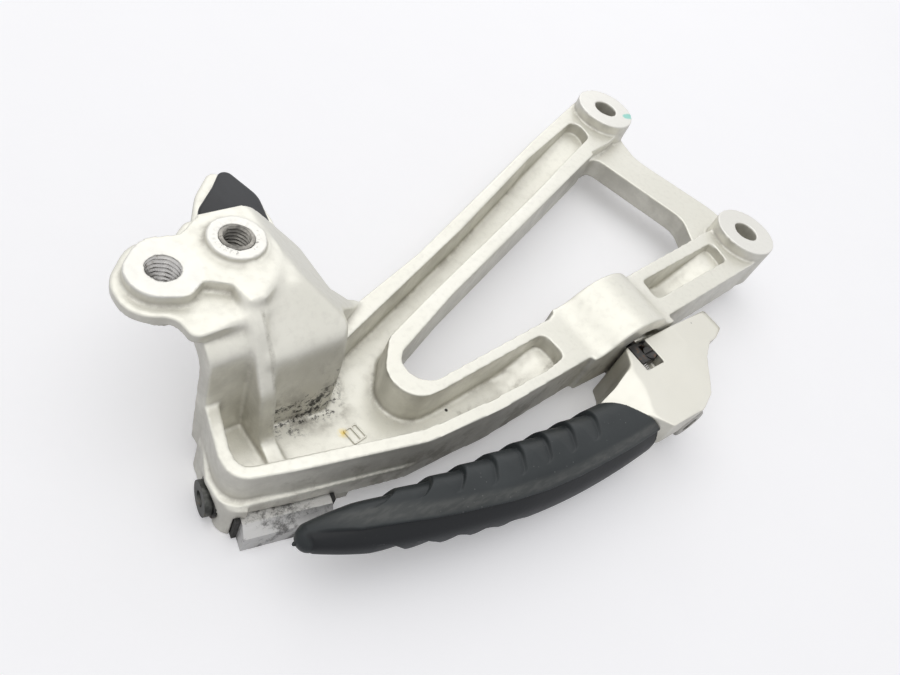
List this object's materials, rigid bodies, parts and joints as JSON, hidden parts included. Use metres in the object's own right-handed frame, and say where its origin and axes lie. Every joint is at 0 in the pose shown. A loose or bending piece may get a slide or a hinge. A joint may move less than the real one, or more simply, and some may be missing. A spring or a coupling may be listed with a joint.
{
  "type": "foot peg",
  "caption": "Folding passenger foot peg with a curved rubber grip, hinged on a cast alloy hanger with rear bolt bosses and a raised front mounting lobe.",
  "frame": {"origin": "centre of the lower rear boss's outer face", "axes": "+Z points outboard along the boss bores, +X runs rearwards along the lower arm, +Y points to the upper rear boss"},
  "size_m": [0.2708, 0.1515, 0.0541],
  "materials": {
    "cast_alloy": "bead-blasted clear-coated casting",
    "peg_alloy": "satin forged",
    "machined_alloy": "saw-cut and milled, smudged",
    "grip_rubber": "moulded, satin",
    "pad_rubber": "moulded, glossy",
    "isolator_rubber": "matt sheet",
    "zinc_steel": "dull zinc plated",
    "bright_steel": "ground",
    "insert_steel": "threaded steel",
    "dark_steel": "blackened, a little rust",
    "bush_polymer": "filled bearing polymer"
  },
  "bodies": {
    "hanger": {"hanger_casting": "cast_alloy", "thread_insert": "insert_steel", "lug_pad": "pad_rubber", "clamp_block": "machined_alloy", "block_isolators": "isolator_rubber", "block_bolt": "zinc_steel", "block_washer": "zinc_steel", "pivot_bolt": "zinc_steel", "pivot_sleeve": "bright_steel", "pivot_head_washer": "zinc_steel", "wave_washer": "bright_steel", "pivot_nut_washer": "zinc_steel", "pivot_nut": "zinc_steel"},
    "peg": {"peg_body": "peg_alloy", "grip_rubber": "grip_rubber", "grip_cup_washers": "zinc_steel", "grip_screws": "zinc_steel", "bar_keeper_screw": "zinc_steel", "bar_spring": "bright_steel", "pivot_bush_inner": "bush_polymer", "pivot_bush_outer": "bush_polymer"},
    "stop_bar": {"stop_bar": "dark_steel"}
  },
  "joints": [
    {"name": "peg_fold", "type": "hinge", "parent": "hanger", "child": "peg", "pos_m": [-0.0925, 0, -0.0168], "axis": [0, 1, 0], "range_deg": [0, 90]},
    {"name": "bar_slide", "type": "slide", "parent": "peg", "child": "stop_bar", "axis": [0, -1, 0], "range_m": [0, 0.0025], "stiffness_N_per_m": 800, "springref_m": -0.004, "deforming": ["bar_spring"]}
  ]
}
